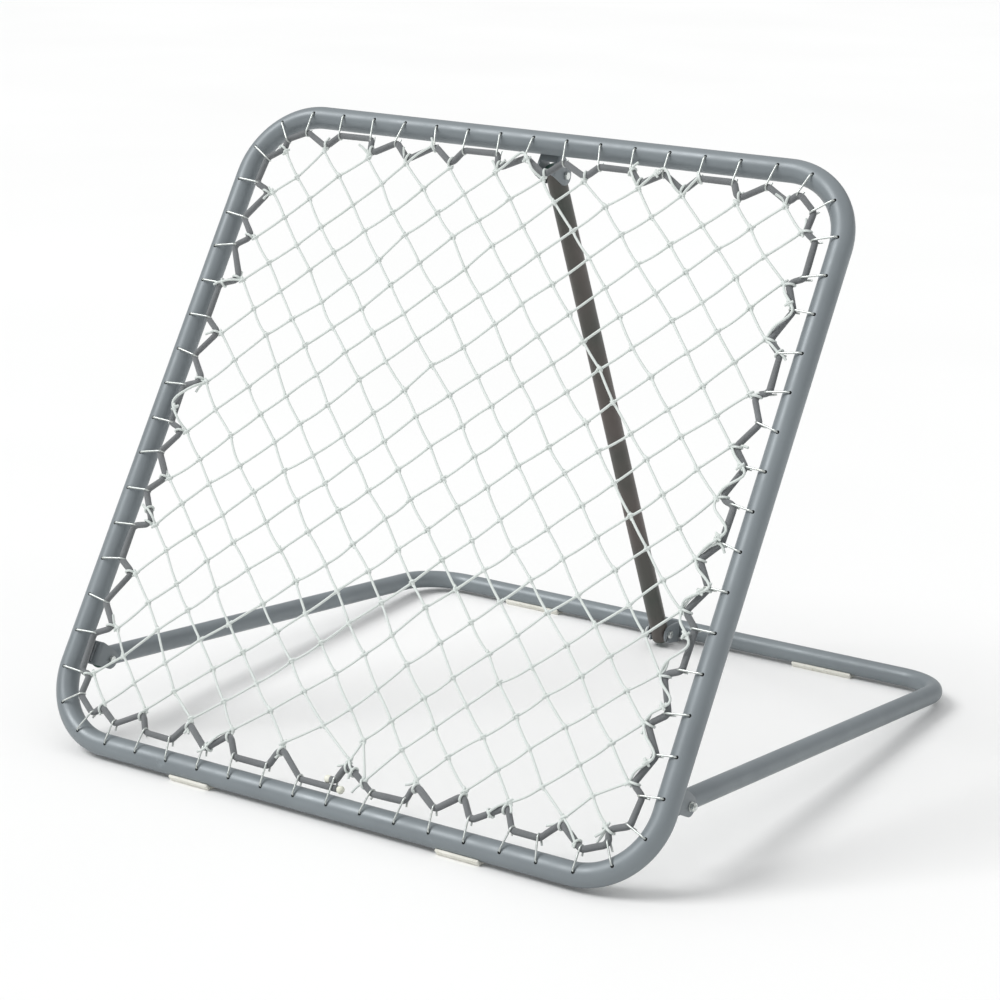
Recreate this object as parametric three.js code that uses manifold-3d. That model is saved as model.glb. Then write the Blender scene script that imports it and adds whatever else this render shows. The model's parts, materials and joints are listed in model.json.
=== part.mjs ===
// Pitch back rebounder: a square tube frame leans back on a folding U base and a strut, and a net
// hangs inside it on one zigzag of shock cord. Millimetres, +X to the right, +Y to the rear, +Z up;
// the origin is on the ground under the middle of the footprint.
import * as THREE from 'three';
import { mergeVertices } from 'three/addons/utils/BufferGeometryUtils.js';
import Module from 'manifold-3d';

const wasm = await Module();
wasm.setup();

// ---- Driving dimensions ----------------------------------------------------------------------
const FRAME_SIDE = 1000; // outside of the square frame
const FRAME_R = 16; // frame tube's outer radius
const FRAME_BEND = 102; // centreline radius of the frame's corners
const FRAME_LEAN = THREE.MathUtils.degToRad(32); // from upright
const HOLES = 68; // evenly pitched hook holes all the way round
const HOLE_R = 2.5;
const FIRST_HOLE = 13; // the hole nearest the bottom rail's middle, to its right

const BASE_R = 14; // base tube and strut tube
const BASE_BEND = 75;
const ARM_X = 474; // each base arm's centreline from the middle
const ARM_LENGTH = 840; // pivot to rear rail
const PIVOT_UP = 124.5; // pivots above the bottom rail, along the frame
const STRUT_PIVOT_DOWN = 26; // strut pivot below the top rail, along the frame
const PIVOT_BACK = 47; // both sets of pivots behind the frame's middle plane
const REAR_BOLT_REACH = 50; // strut's lower bolt in front of the rear rail
const OVERHANG = 10; // tube beyond the bolt at a bolted end

const WALL = 1.5; // tube wall
const GAUGE = 2.5; // bracket sheet
const SHEET_BEND = 5; // outer radius of a bracket's folds
const SIDE_PLAY = 0.5; // between a tube and the bracket ears beside it
const EAR_R = 14;
const WEB_HALF = 17; // half height of a pivot bracket's web
const WEB_SHORT = 6; // lower edge of the top bracket's web, above its bolt
const SLOT_WAY = THREE.MathUtils.degToRad(-60); // the rear ears' slots, from the way the ears point

const BOLT_R = 3; // M6
const BOLT_HOLE_R = 3.3;
const HEX_FLATS = 10;
const HEAD_H = 4;
const NUT_H = 5;
const WASHER_R = 6.25;
const WASHER_H = 1.6;
const BOLT_END = 1.8; // thread beyond the nut

const CORD_R = 4;
const CORD_FRONT = 12; // cord and net in front of the frame's middle plane
const CORD_AT_HOOK = 30; // cord's distance in from the frame tube's centreline, at a hook
const CORD_DIP = 58; // the same where a knot of the net holds it, between two hooks
const CORNER_DIP = 43; // the same round a corner
const DIP_CLEAR = 12; // least distance along the frame from a hook to a held point
const LAP_OUTER = 24; // the two tracks of the lapped ends
const LAP_INNER = 34;
const LAP_TAIL = 8; // each end beyond the first hook
const TURN_HALF = 3; // half the short flat at each turn of the cord
const TIP_R = 4.3;
const TIP_LENGTH = 9;

const NET_STEP = 37.6; // half a diamond's diagonal
const NET_STEPS = 23; // of those from the net's first row of knots to its last, both ways
const NET_HALF = 418; // the border cord, from the net's middle
const NET_CORD = 3.4;
const NET_DEPTH = 3;

const FOOT_H = 4; // pad under a tube
const FOOT_FLAT = 10; // half width of a pad's flat underside
const FOOT_WRAP = THREE.MathUtils.degToRad(50); // pad's reach round the tube from its lowest line
const REAR_FOOT = { x: 265, length: 100 };
const FRONT_FOOT = { x: 220, length: 66 };

const PLUG_STEM = 5;
const PLUG_HEAD = 2;
const PLUG_R = 13.4;

const GAP = 0.3; // between pieces that touch
const TUBE_SIDES = 16;
const BEND_STEPS = 6;
const BORE_SIDES = 12;
const CORD_SIDES = 8;
const CURVE_SEGMENTS = 8; // to each arc of an outline
const FOLD_SEGMENTS = 4;

// ---- Worked out from them --------------------------------------------------------------------
const RAIL_AT = FRAME_SIDE / 2 - FRAME_R; // frame tube's centreline from the middle
const STRAIGHT_HALF = RAIL_AT - FRAME_BEND;
const QUARTER = 2 * STRAIGHT_HALF + (Math.PI / 2) * FRAME_BEND; // one side and one corner
const PITCH = (4 * QUARTER) / HOLES;
const KNOT_REACH = (NET_STEPS / 2) * NET_STEP; // outermost knots from the net's middle
const EAR_INNER = BASE_R + SIDE_PLAY;
const EAR_OUTER = EAR_INNER + GAUGE;

const leant = (y, z) => ({
  y: y * Math.cos(FRAME_LEAN) + z * Math.sin(FRAME_LEAN),
  z: FRAME_R + FOOT_H + z * Math.cos(FRAME_LEAN) - y * Math.sin(FRAME_LEAN),
});
const PIVOT = leant(PIVOT_BACK, PIVOT_UP);
const STRUT_TOP = leant(PIVOT_BACK, 2 * RAIL_AT - STRUT_PIVOT_DOWN);
const REAR_Z = BASE_R + FOOT_H;
const ARM_DROP = Math.asin((PIVOT.z - REAR_Z) / ARM_LENGTH);
const REAR_Y = PIVOT.y + ARM_LENGTH * Math.cos(ARM_DROP);
const REAR_BOLT = {
  y: REAR_Y - REAR_BOLT_REACH * Math.cos(ARM_DROP),
  z: REAR_Z + REAR_BOLT_REACH * Math.sin(ARM_DROP),
};
const STRUT_LENGTH = Math.hypot(REAR_BOLT.y - STRUT_TOP.y, STRUT_TOP.z - REAR_BOLT.z);
const STRUT_LEAN = Math.asin((REAR_BOLT.y - STRUT_TOP.y) / STRUT_LENGTH);

// ---- Materials -------------------------------------------------------------------------------
const finish = (color, roughness, metalness) => () =>
  new THREE.MeshStandardMaterial({ color, roughness, metalness });
const paint = finish(0x8d949b, 0.42, 0.25);
const zinc = finish(0xc9ccca, 0.32, 1);
const darkGreen = finish(0x1c2f2a, 0.6, 0);
const cream = finish(0xe3dfd0, 0.75, 0);
const greyCord = finish(0x7a7d80, 0.9, 0);
const whiteCord = finish(0xe9ecea, 0.85, 0);

// ---- Solids ----------------------------------------------------------------------------------
const AXIS = {
  x: new THREE.Vector3(1, 0, 0),
  y: new THREE.Vector3(0, 1, 0),
  z: new THREE.Vector3(0, 0, 1),
};
// Turns an outline drawn as (y, z) and extruded along z so that it is extruded along x.
const SIDEWAYS = new THREE.Matrix4().makeBasis(AXIS.y, AXIS.z, AXIS.x);

function welded(geometry) {
  const bare = geometry.clone();
  bare.deleteAttribute('normal');
  bare.deleteAttribute('uv');
  return mergeVertices(bare);
}

function toSolid(geometry) {
  const { attributes, index } = welded(geometry);
  const vertProperties = attributes.position.array;
  const triVerts = new Uint32Array(index.array);
  return new wasm.Manifold(new wasm.Mesh({ numProp: 3, vertProperties, triVerts }));
}

function fromSolid(solid) {
  const { vertProperties, triVerts } = solid.getMesh();
  const geometry = new THREE.BufferGeometry();
  geometry.setAttribute('position', new THREE.BufferAttribute(vertProperties, 3));
  geometry.setIndex(new THREE.BufferAttribute(triVerts, 1));
  geometry.computeVertexNormals();
  return geometry;
}

function without(geometry, cutters) {
  return fromSolid(cutters.reduce((left, cutter) => left.subtract(toSolid(cutter)), toSolid(geometry)));
}

// An outline given a depth, half of it on each side of the outline's plane.
function extruded(outline, depth, curveSegments) {
  const solid = new THREE.ExtrudeGeometry(outline, { depth, bevelEnabled: false, curveSegments });
  return solid.translate(0, 0, -depth / 2);
}

// A bore along x through a bolted piece, centred on (y, z).
function bore(length, x = 0, y = 0, z = 0) {
  const drill = new THREE.CylinderGeometry(BOLT_HOLE_R, BOLT_HOLE_R, length, BORE_SIDES);
  return drill.rotateZ(Math.PI / 2).translate(x, y, z);
}

// A path for ExtrudeGeometry whose sections stand exactly at its stops, one { at, heading } each.
class Route extends THREE.Curve {
  constructor(stops) {
    super();
    this.stops = stops;
  }

  stop(t) {
    return this.stops[Math.round(t * (this.stops.length - 1))];
  }

  getPointAt(t) {
    return this.stop(t).at.clone();
  }

  getTangentAt(t) {
    return this.stop(t).heading.clone();
  }
}

// A circle whose polygon has a flat, not a corner, on each axis.
function ringOutline(radius, sides, path) {
  const half = Math.PI / sides;
  path.absarc(0, 0, radius, half, 2 * Math.PI + half);
  return path;
}

function pipeSection(radius) {
  const section = ringOutline(radius, TUBE_SIDES, new THREE.Shape());
  section.holes.push(ringOutline(radius - WALL, TUBE_SIDES, new THREE.Path()));
  return section;
}

function sweep(section, stops, sides) {
  const extrudePath = new Route(stops);
  const steps = stops.length - 1;
  return new THREE.ExtrudeGeometry(section, { extrudePath, steps, curveSegments: sides / 2 });
}

// A sweep that ends where it began, without the two end faces that would meet inside it.
function closedSweep(section, stops, sides) {
  const whole = sweep(section, stops, sides);
  const walls = whole.groups.find((group) => group.materialIndex === 1);
  const from = walls.start * 3;
  const geometry = new THREE.BufferGeometry();
  const points = whole.attributes.position.array.slice(from, from + walls.count * 3);
  geometry.setAttribute('position', new THREE.BufferAttribute(points, 3));
  return geometry;
}

// Stops round a quarter bend, from the heading `from` to the heading `to`.
function quarterBend(centre, radius, from, to) {
  return Array.from({ length: BEND_STEPS + 1 }, (_, step) => {
    const turn = (step / BEND_STEPS) * (Math.PI / 2);
    const heading = from.clone().multiplyScalar(Math.cos(turn)).addScaledVector(to, Math.sin(turn));
    const inward = to.clone().multiplyScalar(Math.cos(turn)).addScaledVector(from, -Math.sin(turn));
    return { at: centre.clone().addScaledVector(inward, -radius), heading };
  });
}

// ---- Frame -----------------------------------------------------------------------------------
// Everything on the frame is in the frame's own axes: x across, z up the frame from the bottom
// rail's centreline, -y out of its front.

// The point a distance s round the frame's centreline from the bottom rail's middle, going right,
// moved inwards by `inward`.
function onFrame(s, inward, y = 0) {
  const run = THREE.MathUtils.euclideanModulo(s + STRAIGHT_HALF, 4 * QUARTER);
  const side = Math.floor(run / QUARTER);
  const along = run - side * QUARTER;
  const turn = Math.max(0, along - 2 * STRAIGHT_HALF) / FRAME_BEND;
  const x = Math.min(along, 2 * STRAIGHT_HALF) - STRAIGHT_HALF;
  const outward = new THREE.Vector3(Math.sin(turn), 0, -Math.cos(turn));
  const at = new THREE.Vector3(x, 0, -STRAIGHT_HALF).addScaledVector(outward, FRAME_BEND - inward);
  const spin = -side * (Math.PI / 2);
  at.applyAxisAngle(AXIS.y, spin);
  outward.applyAxisAngle(AXIS.y, spin);
  at.add(new THREE.Vector3(0, y, RAIL_AT));
  const heading = new THREE.Vector3(-outward.z, 0, outward.x);
  return { at, heading, cornered: turn > 0 };
}

function frameTube() {
  const corner = (side) => {
    const start = STRAIGHT_HALF + side * QUARTER;
    const arc = QUARTER - 2 * STRAIGHT_HALF;
    const at = (step) => onFrame(start + (arc * step) / BEND_STEPS, 0);
    return Array.from({ length: BEND_STEPS + 1 }, (_, step) => at(step));
  };
  const stops = [onFrame(0, 0), ...corner(0), ...corner(1), ...corner(2), ...corner(3), onFrame(0, 0)];
  const drills = Array.from({ length: HOLES }, (_, hole) => {
    const { at } = onFrame(FIRST_HOLE + hole * PITCH, 0);
    const drill = new THREE.CylinderGeometry(HOLE_R, HOLE_R, FRAME_R, CORD_SIDES);
    return drill.translate(at.x, -FRAME_R, at.z);
  });
  return without(closedSweep(pipeSection(FRAME_R), stops, TUBE_SIDES), drills);
}

// ---- Cord and net ----------------------------------------------------------------------------
// A stop's heading halves the turn between the legs before and after it.
function headed(points) {
  const legs = points.slice(1).map((point, i) => point.clone().sub(points[i]).normalize());
  return points.map((at, i) => {
    const before = legs[Math.max(i - 1, 0)];
    const after = legs[Math.min(i, legs.length - 1)];
    return { at, heading: before.clone().add(after).normalize() };
  });
}

// The two stops of one turn of the cord.
function turnAt(s, inward) {
  const { at, heading } = onFrame(s, inward, -CORD_FRONT);
  return [-TURN_HALF, TURN_HALF].map((offset) => at.clone().addScaledVector(heading, offset));
}

const hookAt = (hook) => FIRST_HOLE + hook * PITCH;
// The cord's two ends lap at the first hook, on an outer and an inner track.
const OUTER_END = hookAt(HOLES) + LAP_TAIL;
const INNER_END = hookAt(0) - LAP_TAIL;

// How far round the frame each outermost knot of the net stands. Knots take every other place in
// the net's outermost rows, so they start one place on along the bottom and the top. The knot over
// the cord's lap is drawn on to the first gap after it.
function heldPoints() {
  const drop = FRAME_BEND - (RAIL_AT - KNOT_REACH); // from a corner's centre to the row of knots
  const points = [];
  for (let side = 0; side < 4; side += 1) {
    const first = side % 2 === 0 ? 1 : 2;
    for (let place = first; place <= NET_STEPS; place += 2) {
      const along = place * NET_STEP - KNOT_REACH;
      const past = Math.max(0, Math.abs(along) - STRAIGHT_HALF);
      const straight = Math.min(Math.abs(along), STRAIGHT_HALF);
      const reach = straight + FRAME_BEND * Math.atan2(past, drop);
      const s = side * QUARTER + Math.sign(along) * reach;
      const round = s < FIRST_HOLE ? s + 4 * QUARTER : s;
      points.push(round > hookAt(HOLES - 1) ? hookAt(0) + DIP_CLEAR : round);
    }
  }
  return points;
}

function cordPoints() {
  const held = heldPoints();
  const points = [onFrame(INNER_END, LAP_INNER, -CORD_FRONT).at, ...turnAt(hookAt(0), LAP_INNER)];
  for (let hook = 0; hook < HOLES - 1; hook += 1) {
    const [from, to] = [hookAt(hook), hookAt(hook + 1)];
    const knot = held.find((s) => s > from && s <= to);
    if (knot !== undefined) {
      const s = THREE.MathUtils.clamp(knot, from + DIP_CLEAR, to - DIP_CLEAR);
      points.push(...turnAt(s, onFrame(s, 0).cornered ? CORNER_DIP : CORD_DIP));
    }
    points.push(...turnAt(to, hook === HOLES - 2 ? LAP_OUTER : CORD_AT_HOOK));
  }
  points.push(onFrame(OUTER_END, LAP_OUTER, -CORD_FRONT).at);
  return points;
}

function shockCord() {
  return sweep(ringOutline(CORD_R, CORD_SIDES, new THREE.Shape()), headed(cordPoints()), CORD_SIDES);
}

// A moulded tip, made lying along x.
function cordTip() {
  return new THREE.CylinderGeometry(TIP_R, TIP_R, TIP_LENGTH, BORE_SIDES).rotateZ(Math.PI / 2);
}

// A diamond mesh cut square, its edge closed by a border cord: a sheet with each cell cut out.
function net() {
  const cellReach = NET_STEP - NET_CORD / Math.SQRT2; // from a cell's middle to its corners
  const square = (half, depth) => new THREE.BoxGeometry(2 * half, depth, 2 * half);
  const inside = toSolid(square(NET_HALF - NET_CORD / 2, 2 * NET_DEPTH));
  let sheet = toSolid(square(NET_HALF + NET_CORD / 2, NET_DEPTH));
  for (let column = 0; column <= NET_STEPS; column += 1) {
    for (let row = column % 2; row <= NET_STEPS; row += 2) {
      const x = column * NET_STEP - KNOT_REACH;
      const z = row * NET_STEP - KNOT_REACH;
      if (Math.abs(x) + Math.abs(z) < 2 * NET_HALF) { // the two corner cells stay closed
        const cell = new THREE.CylinderGeometry(cellReach, cellReach, 2 * NET_DEPTH, 4);
        sheet = sheet.subtract(toSolid(cell.translate(x, 0, z)).intersect(inside));
      }
    }
  }
  return fromSolid(sheet).translate(0, -CORD_FRONT, RAIL_AT);
}

// ---- Brackets --------------------------------------------------------------------------------
// A U of folded sheet with a bolt hole through its ears. Its origin is on the bolt, its web's
// outer face stands at y = -reach from z = -low to z = high, and its ears taper to a round end.
function clevis(reach, low, high) {
  const tip = EAR_R + 1;
  const fold = SHEET_BEND - GAUGE;
  const channel = new THREE.Shape();
  channel.moveTo(-EAR_OUTER, tip);
  channel.absarc(-EAR_OUTER + SHEET_BEND, -reach + SHEET_BEND, SHEET_BEND, Math.PI, 1.5 * Math.PI);
  channel.absarc(EAR_OUTER - SHEET_BEND, -reach + SHEET_BEND, SHEET_BEND, 1.5 * Math.PI, 2 * Math.PI);
  channel.lineTo(EAR_OUTER, tip).lineTo(EAR_INNER, tip);
  channel.absarc(EAR_INNER - fold, -reach + GAUGE + fold, fold, 0, -Math.PI / 2, true);
  channel.absarc(-EAR_INNER + fold, -reach + GAUGE + fold, fold, -Math.PI / 2, -Math.PI, true);
  channel.lineTo(-EAR_INNER, tip);
  const folded = extruded(channel, 2 * high, FOLD_SEGMENTS);

  const tangent = (height) =>
    Math.PI - Math.atan2(height, reach) - Math.acos(EAR_R / Math.hypot(reach, height));
  const ear = new THREE.Shape();
  ear.moveTo(-reach - 1, -low).lineTo(-reach, -low);
  ear.absarc(0, 0, EAR_R, -tangent(low), tangent(high));
  ear.lineTo(-reach, high).lineTo(-reach - 1, high);
  const blank = extruded(ear, 4 * EAR_OUTER, CURVE_SEGMENTS).applyMatrix4(SIDEWAYS);
  return without(fromSolid(toSolid(folded).intersect(toSolid(blank))), [bore(4 * EAR_OUTER)]);
}

// The rear bracket's ears are slotted from the bolt hole to the edge, so that the strut unhooks.
function slottedClevis(reach, webHalf) {
  const slot = new THREE.BoxGeometry(4 * EAR_OUTER, 2 * EAR_R, 2 * BOLT_HOLE_R).translate(0, EAR_R, 0);
  return without(clevis(reach, webHalf, webHalf), [slot.rotateX(SLOT_WAY)]);
}

// The top bracket's web is cut short, which leaves the strut's end in sight between the ears.
function shortWebClevis(reach) {
  const cut = new THREE.BoxGeometry(2 * (EAR_OUTER - SHEET_BEND), 2 * SHEET_BEND, 2 * EAR_R);
  cut.translate(0, -reach, WEB_SHORT - EAR_R);
  return without(clevis(reach, EAR_R, STRUT_PIVOT_DOWN), [cut]);
}

// ---- Fasteners, made along x with the bracket's outer faces at +-EAR_OUTER ---------------------
const HEX_R = HEX_FLATS / Math.sqrt(3);

function bolt() {
  const stack = EAR_OUTER + WASHER_H + NUT_H + 2 * GAP + BOLT_END;
  const neck = EAR_OUTER + GAP;
  const shank = new THREE.CylinderGeometry(BOLT_R, BOLT_R, stack + neck + 1, BORE_SIDES);
  shank.rotateZ(Math.PI / 2).translate((neck + 1 - stack) / 2, 0, 0);
  const head = new THREE.CylinderGeometry(HEX_R, HEX_R, HEAD_H, 6);
  head.rotateZ(Math.PI / 2).translate(neck + HEAD_H / 2, 0, 0);
  return fromSolid(toSolid(shank).add(toSolid(head)));
}

function holedDisc(outline, thickness, faceX) {
  outline.holes.push(new THREE.Path().absarc(0, 0, BOLT_HOLE_R, 0, 2 * Math.PI));
  const disc = extruded(outline, thickness, BORE_SIDES / 2);
  return disc.applyMatrix4(SIDEWAYS).translate(faceX + thickness / 2, 0, 0);
}

function washer() {
  const outline = new THREE.Shape().absarc(0, 0, WASHER_R, 0, 2 * Math.PI);
  return holedDisc(outline, WASHER_H, -EAR_OUTER - GAP - WASHER_H);
}

function nut() {
  const corners = Array.from({ length: 6 }, (_, i) => {
    const angle = (i * Math.PI) / 3;
    return new THREE.Vector2(HEX_R * Math.cos(angle), HEX_R * Math.sin(angle));
  });
  return holedDisc(new THREE.Shape(corners), NUT_H, -EAR_OUTER - WASHER_H - 2 * GAP - NUT_H);
}

// ---- Base and strut --------------------------------------------------------------------------
// The base's own axes: the origin midway between the pivots, y along its arms to the rear rail.
function baseTube() {
  const bendX = ARM_X - BASE_BEND;
  const bendY = ARM_LENGTH - BASE_BEND;
  const back = AXIS.y.clone();
  const left = AXIS.x.clone().negate();
  const forward = AXIS.y.clone().negate();
  const stops = [
    { at: new THREE.Vector3(ARM_X, -OVERHANG, 0), heading: back },
    ...quarterBend(new THREE.Vector3(bendX, bendY, 0), BASE_BEND, back, left),
    ...quarterBend(new THREE.Vector3(-bendX, bendY, 0), BASE_BEND, left, forward),
    { at: new THREE.Vector3(-ARM_X, -OVERHANG, 0), heading: forward },
  ];
  return without(sweep(pipeSection(BASE_R), stops, TUBE_SIDES), [bore(2 * ARM_X + 4 * BASE_R)]);
}

// The strut's own axes: the origin on its top bolt, -z along it to its lower bolt.
function strutTube() {
  const down = AXIS.z.clone().negate();
  const ends = [OVERHANG, -STRUT_LENGTH - OVERHANG];
  const stops = ends.map((z) => ({ at: new THREE.Vector3(0, 0, z), heading: down }));
  const bores = [bore(4 * BASE_R), bore(4 * BASE_R, 0, 0, -STRUT_LENGTH)];
  return without(sweep(pipeSection(BASE_R), stops, TUBE_SIDES), bores);
}

// A plug pushed into an open tube end at z = 0, its head above.
function plug() {
  const stem = BASE_R - WALL - GAP;
  const chamfer = PLUG_HEAD / 4;
  const profile = [
    [0, -PLUG_STEM],
    [stem, -PLUG_STEM],
    [stem, GAP],
    [PLUG_R, GAP],
    [PLUG_R, PLUG_HEAD + GAP - chamfer],
    [PLUG_R - chamfer, PLUG_HEAD + GAP],
    [0, PLUG_HEAD + GAP],
  ].map(([r, z]) => new THREE.Vector2(r, z));
  return new THREE.LatheGeometry(profile, TUBE_SIDES).rotateX(Math.PI / 2);
}

// A pad with a flat underside that hugs the lower part of a tube along x.
function foot(tubeR, length) {
  const lowest = -Math.PI / 2;
  const outer = tubeR + FOOT_H;
  const outline = new THREE.Shape();
  outline.moveTo(-FOOT_FLAT, -outer).lineTo(FOOT_FLAT, -outer);
  outline.lineTo(outer * Math.cos(lowest + FOOT_WRAP), outer * Math.sin(lowest + FOOT_WRAP));
  outline.absarc(0, 0, tubeR + GAP, lowest + FOOT_WRAP, lowest - FOOT_WRAP, true);
  outline.lineTo(outer * Math.cos(lowest - FOOT_WRAP), outer * Math.sin(lowest - FOOT_WRAP));
  return extruded(outline, length, CURVE_SEGMENTS).applyMatrix4(SIDEWAYS);
}

// ---- Assembly --------------------------------------------------------------------------------
function piece(name, geometry, material) {
  const mesh = new THREE.Mesh(geometry, material);
  mesh.name = name;
  return mesh;
}

function placedAt(object, x, y, z) {
  object.position.set(x, y, z);
  return object;
}

// Bolt, washer and nut of one bolted joint, the nut on the left unless it is turned round.
function fasteners(name, nutOnRight) {
  const set = new THREE.Group();
  set.add(piece(`${name}_bolt`, bolt(), zinc()));
  set.add(piece(`${name}_washer`, washer(), zinc()));
  set.add(piece(`${name}_nut`, nut(), zinc()));
  set.rotation.z = nutOnRight ? Math.PI : 0;
  return set;
}

function frameGroup() {
  const frame = new THREE.Group();
  const reach = PIVOT_BACK - FRAME_R - GAP;
  frame.add(piece('frame_tube', frameTube(), paint()));
  for (const [side, sign] of [['left', -1], ['right', 1]]) {
    const bracket = piece(`pivot_bracket_${side}`, clevis(reach, WEB_HALF, WEB_HALF), paint());
    frame.add(placedAt(bracket, sign * ARM_X, PIVOT_BACK, PIVOT_UP));
    frame.add(placedAt(fasteners(`pivot_${side}`, sign > 0), sign * ARM_X, PIVOT_BACK, PIVOT_UP));
    const pad = piece(`front_foot_${side}`, foot(FRAME_R, FRONT_FOOT.length), cream());
    pad.rotation.x = FRAME_LEAN;
    frame.add(placedAt(pad, sign * FRONT_FOOT.x, 0, 0));
  }
  const strutPivotZ = 2 * RAIL_AT - STRUT_PIVOT_DOWN;
  const topBracket = piece('top_bracket', shortWebClevis(reach), paint());
  frame.add(placedAt(topBracket, 0, PIVOT_BACK, strutPivotZ));
  frame.add(placedAt(fasteners('strut_top', false), 0, PIVOT_BACK, strutPivotZ));
  frame.add(piece('shock_cord', shockCord(), greyCord()));
  const tips = [
    ['cord_tip_outer', OUTER_END + GAP + TIP_LENGTH / 2, LAP_OUTER],
    ['cord_tip_inner', INNER_END - GAP - TIP_LENGTH / 2, LAP_INNER],
  ];
  for (const [name, s, inward] of tips) {
    const { at } = onFrame(s, inward, -CORD_FRONT);
    frame.add(placedAt(piece(name, cordTip(), cream()), at.x, at.y, at.z));
  }
  frame.add(piece('net', net(), whiteCord()));
  frame.rotation.x = -FRAME_LEAN;
  return placedAt(frame, 0, 0, FRAME_R + FOOT_H);
}

function baseGroup() {
  const base = new THREE.Group();
  base.add(piece('base_tube', baseTube(), paint()));
  const reach = REAR_BOLT_REACH - BASE_R - GAP;
  const bracket = piece('rear_bracket', slottedClevis(reach, EAR_R + GAUGE), paint());
  bracket.rotation.z = Math.PI; // its web against the rail behind it
  base.add(placedAt(bracket, 0, ARM_LENGTH - REAR_BOLT_REACH, 0));
  for (const [side, sign] of [['left', -1], ['right', 1]]) {
    const cap = piece(`arm_plug_${side}`, plug(), darkGreen());
    cap.rotation.x = Math.PI / 2; // its head to the front
    base.add(placedAt(cap, sign * ARM_X, -OVERHANG, 0));
    const pad = piece(`rear_foot_${side}`, foot(BASE_R, REAR_FOOT.length), cream());
    pad.rotation.x = ARM_DROP;
    base.add(placedAt(pad, sign * REAR_FOOT.x, ARM_LENGTH, 0));
  }
  base.rotation.x = -ARM_DROP;
  return placedAt(base, 0, PIVOT.y, PIVOT.z);
}

function strutGroup() {
  const strut = new THREE.Group();
  strut.add(piece('strut_tube', strutTube(), paint()));
  strut.add(placedAt(piece('strut_plug_top', plug(), darkGreen()), 0, 0, OVERHANG));
  const lower = piece('strut_plug_bottom', plug(), darkGreen());
  lower.rotation.x = Math.PI;
  strut.add(placedAt(lower, 0, 0, -STRUT_LENGTH - OVERHANG));
  strut.add(placedAt(fasteners('strut_bottom', false), 0, 0, -STRUT_LENGTH));
  strut.rotation.x = STRUT_LEAN;
  return placedAt(strut, 0, STRUT_TOP.y, STRUT_TOP.z);
}

const group = new THREE.Group();
group.add(frameGroup(), baseGroup(), strutGroup());
const footprint = new THREE.Box3().setFromObject(group, true);
group.position.y = -(footprint.min.y + footprint.max.y) / 2;

export default group;
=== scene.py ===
"""Pitch back rebounder: its looks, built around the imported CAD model. Metres, in the CAD's axes."""

import json
import math

import bmesh
import bpy
import numpy as np
from mathutils import Matrix, Quaternion, Vector


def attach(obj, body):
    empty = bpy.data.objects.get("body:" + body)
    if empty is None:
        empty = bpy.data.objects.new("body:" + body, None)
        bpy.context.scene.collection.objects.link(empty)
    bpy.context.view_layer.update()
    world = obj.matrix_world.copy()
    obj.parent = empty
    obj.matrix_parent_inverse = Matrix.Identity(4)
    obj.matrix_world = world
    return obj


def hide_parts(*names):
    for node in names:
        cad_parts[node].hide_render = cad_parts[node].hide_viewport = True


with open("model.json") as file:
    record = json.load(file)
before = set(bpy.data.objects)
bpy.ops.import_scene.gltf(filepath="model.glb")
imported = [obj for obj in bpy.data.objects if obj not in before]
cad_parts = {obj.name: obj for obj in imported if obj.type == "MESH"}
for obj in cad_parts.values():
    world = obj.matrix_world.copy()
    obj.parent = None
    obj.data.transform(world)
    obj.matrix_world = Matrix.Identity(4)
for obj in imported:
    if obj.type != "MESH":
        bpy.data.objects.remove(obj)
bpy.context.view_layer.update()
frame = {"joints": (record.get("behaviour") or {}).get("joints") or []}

# ---- Driving dimensions, as in the CAD source ----------------
FRAME_SIDE = 1.0
FRAME_R = 0.016
FRAME_BEND = 0.102
FRAME_LEAN = math.radians(32)
HOLES = 68
HOLE_R = 0.0025
FIRST_HOLE = 0.013
BASE_R = 0.014
BASE_BEND = 0.075
ARM_X = 0.474
ARM_LENGTH = 0.840
PIVOT_UP = 0.1245
STRUT_PIVOT_DOWN = 0.026
PIVOT_BACK = 0.047
REAR_BOLT_REACH = 0.050
OVERHANG = 0.010
WALL = 0.0015
GAUGE = 0.0025
SHEET_BEND = 0.005
EAR_INNER = 0.0145
EAR_OUTER = 0.017
EAR_R = 0.014
WEB_HALF = 0.017
WEB_SHORT = 0.006
SLOT_WAY = math.radians(-60)
BOLT_R = 0.003
BOLT_HOLE_R = 0.0033
HEX_FLATS = 0.010
HEAD_H = 0.004
NUT_H = 0.005
WASHER_R = 0.00625
WASHER_H = 0.0016
BOLT_END = 0.0018
THREAD_PITCH = 0.001
CORD_R = 0.004
CORD_FRONT = 0.012
CORD_AT_HOOK = 0.030
CORNER_DIP = 0.045
SIDE_DIPS = (0.056, 0.051, 0.051, 0.059)  # cord at a held point: bottom, right, top, left
DIP_CLEAR = 0.010
LAP_OUTER = 0.024
LAP_INNER = 0.034
LAP_TAIL = 0.008
TIP_LENGTH = 0.009
NET_STEP = 0.0376
NET_STEPS = 23
TWINE_R = 0.0018
FOOT_H = 0.004
FOOT_FLAT = 0.010
FOOT_WRAP = math.radians(50)
REAR_FOOT = (0.265, 0.100)
FRONT_FOOT = (0.220, 0.066)
PLUG_STEM = 0.005
PLUG_HEAD = 0.002
PLUG_R = 0.0134
GAP = 0.0003
WIRE_R = 0.0014  # hook wire

RAIL_AT = FRAME_SIDE / 2 - FRAME_R
STRAIGHT_HALF = RAIL_AT - FRAME_BEND
QUARTER = 2 * STRAIGHT_HALF + math.pi / 2 * FRAME_BEND
FRAME_LENGTH = 4 * QUARTER
PITCH = FRAME_LENGTH / HOLES
KNOT_REACH = NET_STEPS / 2 * NET_STEP

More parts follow.
